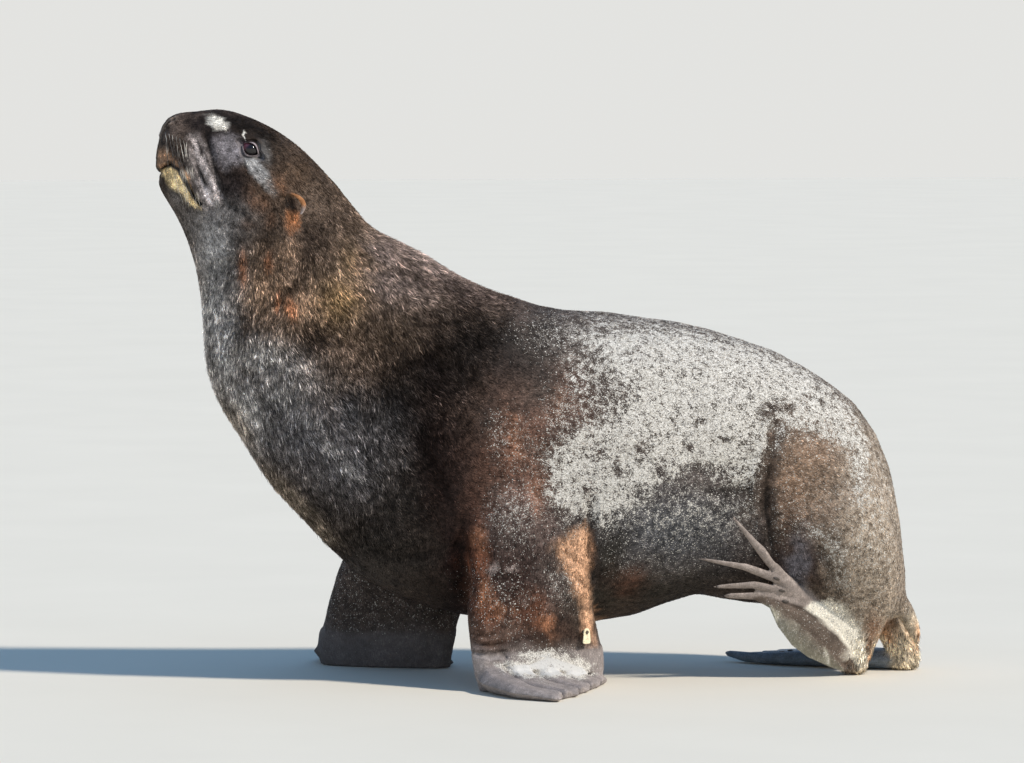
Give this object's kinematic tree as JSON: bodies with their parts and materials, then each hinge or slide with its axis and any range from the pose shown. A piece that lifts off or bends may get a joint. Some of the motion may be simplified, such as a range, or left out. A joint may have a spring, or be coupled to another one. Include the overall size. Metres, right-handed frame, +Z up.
{
  "type": "sea lion",
  "caption": "Life-size still model of an adult male sea lion walking on all fours, head raised and left hind flipper lifted, resting on flats under its flippers and heels.",
  "frame": {"origin": "on the floor, under the middle of the bounding box", "axes": "+Z up; the animal faces -X, its tail is towards +X and its left side faces -Y"},
  "size_m": [1.8586, 1.1272, 1.3681],
  "materials": {
    "fur": "short coarse dark brown fur with pale dried sand on the back and flank",
    "nose": "bare dark grey skin, slightly moist",
    "flipper_skin": "bare grey wrinkled skin with pale sand",
    "eyes": "wet, glossy, nearly black",
    "nails": "dark horn",
    "tag": "pale cream plastic, blank"
  },
  "bodies": {
    "root": {"head": "fur", "nose_pad": "nose", "lower_jaw": "fur", "ear_left": "fur", "ear_right": "fur", "neck": "fur", "chest": "fur", "trunk": "fur", "hindquarters": "fur", "tail": "fur", "foreleg_left": "fur", "foreleg_right": "fur", "hind_leg_left": "fur", "hind_leg_right": "fur", "fore_flipper_left": "flipper_skin", "fore_flipper_right": "flipper_skin", "hind_flipper_left": "flipper_skin", "hind_flipper_right": "flipper_skin", "eye_left": "eyes", "eye_right": "eyes", "nail_left_2": "nails", "nail_left_3": "nails", "nail_left_4": "nails", "nail_right_2": "nails", "nail_right_3": "nails", "nail_right_4": "nails", "flipper_tag": "tag", "tag_stud": "tag"}
  },
  "joints": []
}
